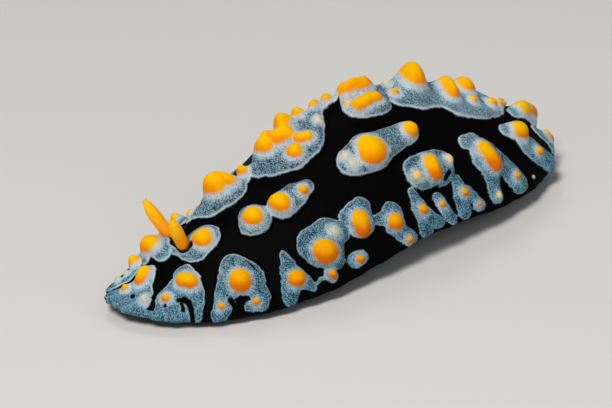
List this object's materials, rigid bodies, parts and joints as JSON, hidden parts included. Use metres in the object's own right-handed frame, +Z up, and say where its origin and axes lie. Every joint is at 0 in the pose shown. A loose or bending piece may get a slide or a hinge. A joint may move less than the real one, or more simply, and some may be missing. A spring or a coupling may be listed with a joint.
{
  "type": "sea slug, still life-size animal model",
  "caption": "Life-size still model of a black warty sea slug with pale blue patches and yellow knobs, resting on its foot.",
  "frame": {"origin": "on the floor, under the middle of the body's box", "axes": "+X from head to tail, +Y towards the animal's right side, +Z up"},
  "size_m": [0.0505, 0.0242, 0.0157],
  "materials": {
    "mantle_skin": "matt black skin with pale grey-blue patches and yellow knobs",
    "foot_skin": "soft dark grey skin",
    "yellow_skin": "soft orange-yellow skin"
  },
  "bodies": {
    "root": {"head": "mantle_skin", "back_front": "mantle_skin", "back_rear": "mantle_skin", "tail": "mantle_skin", "foot": "foot_skin", "mouth": "foot_skin", "oral_tentacle_left": "foot_skin", "oral_tentacle_right": "foot_skin", "rhinophore_left": "yellow_skin", "rhinophore_right": "yellow_skin", "vent": "yellow_skin"}
  },
  "joints": []
}
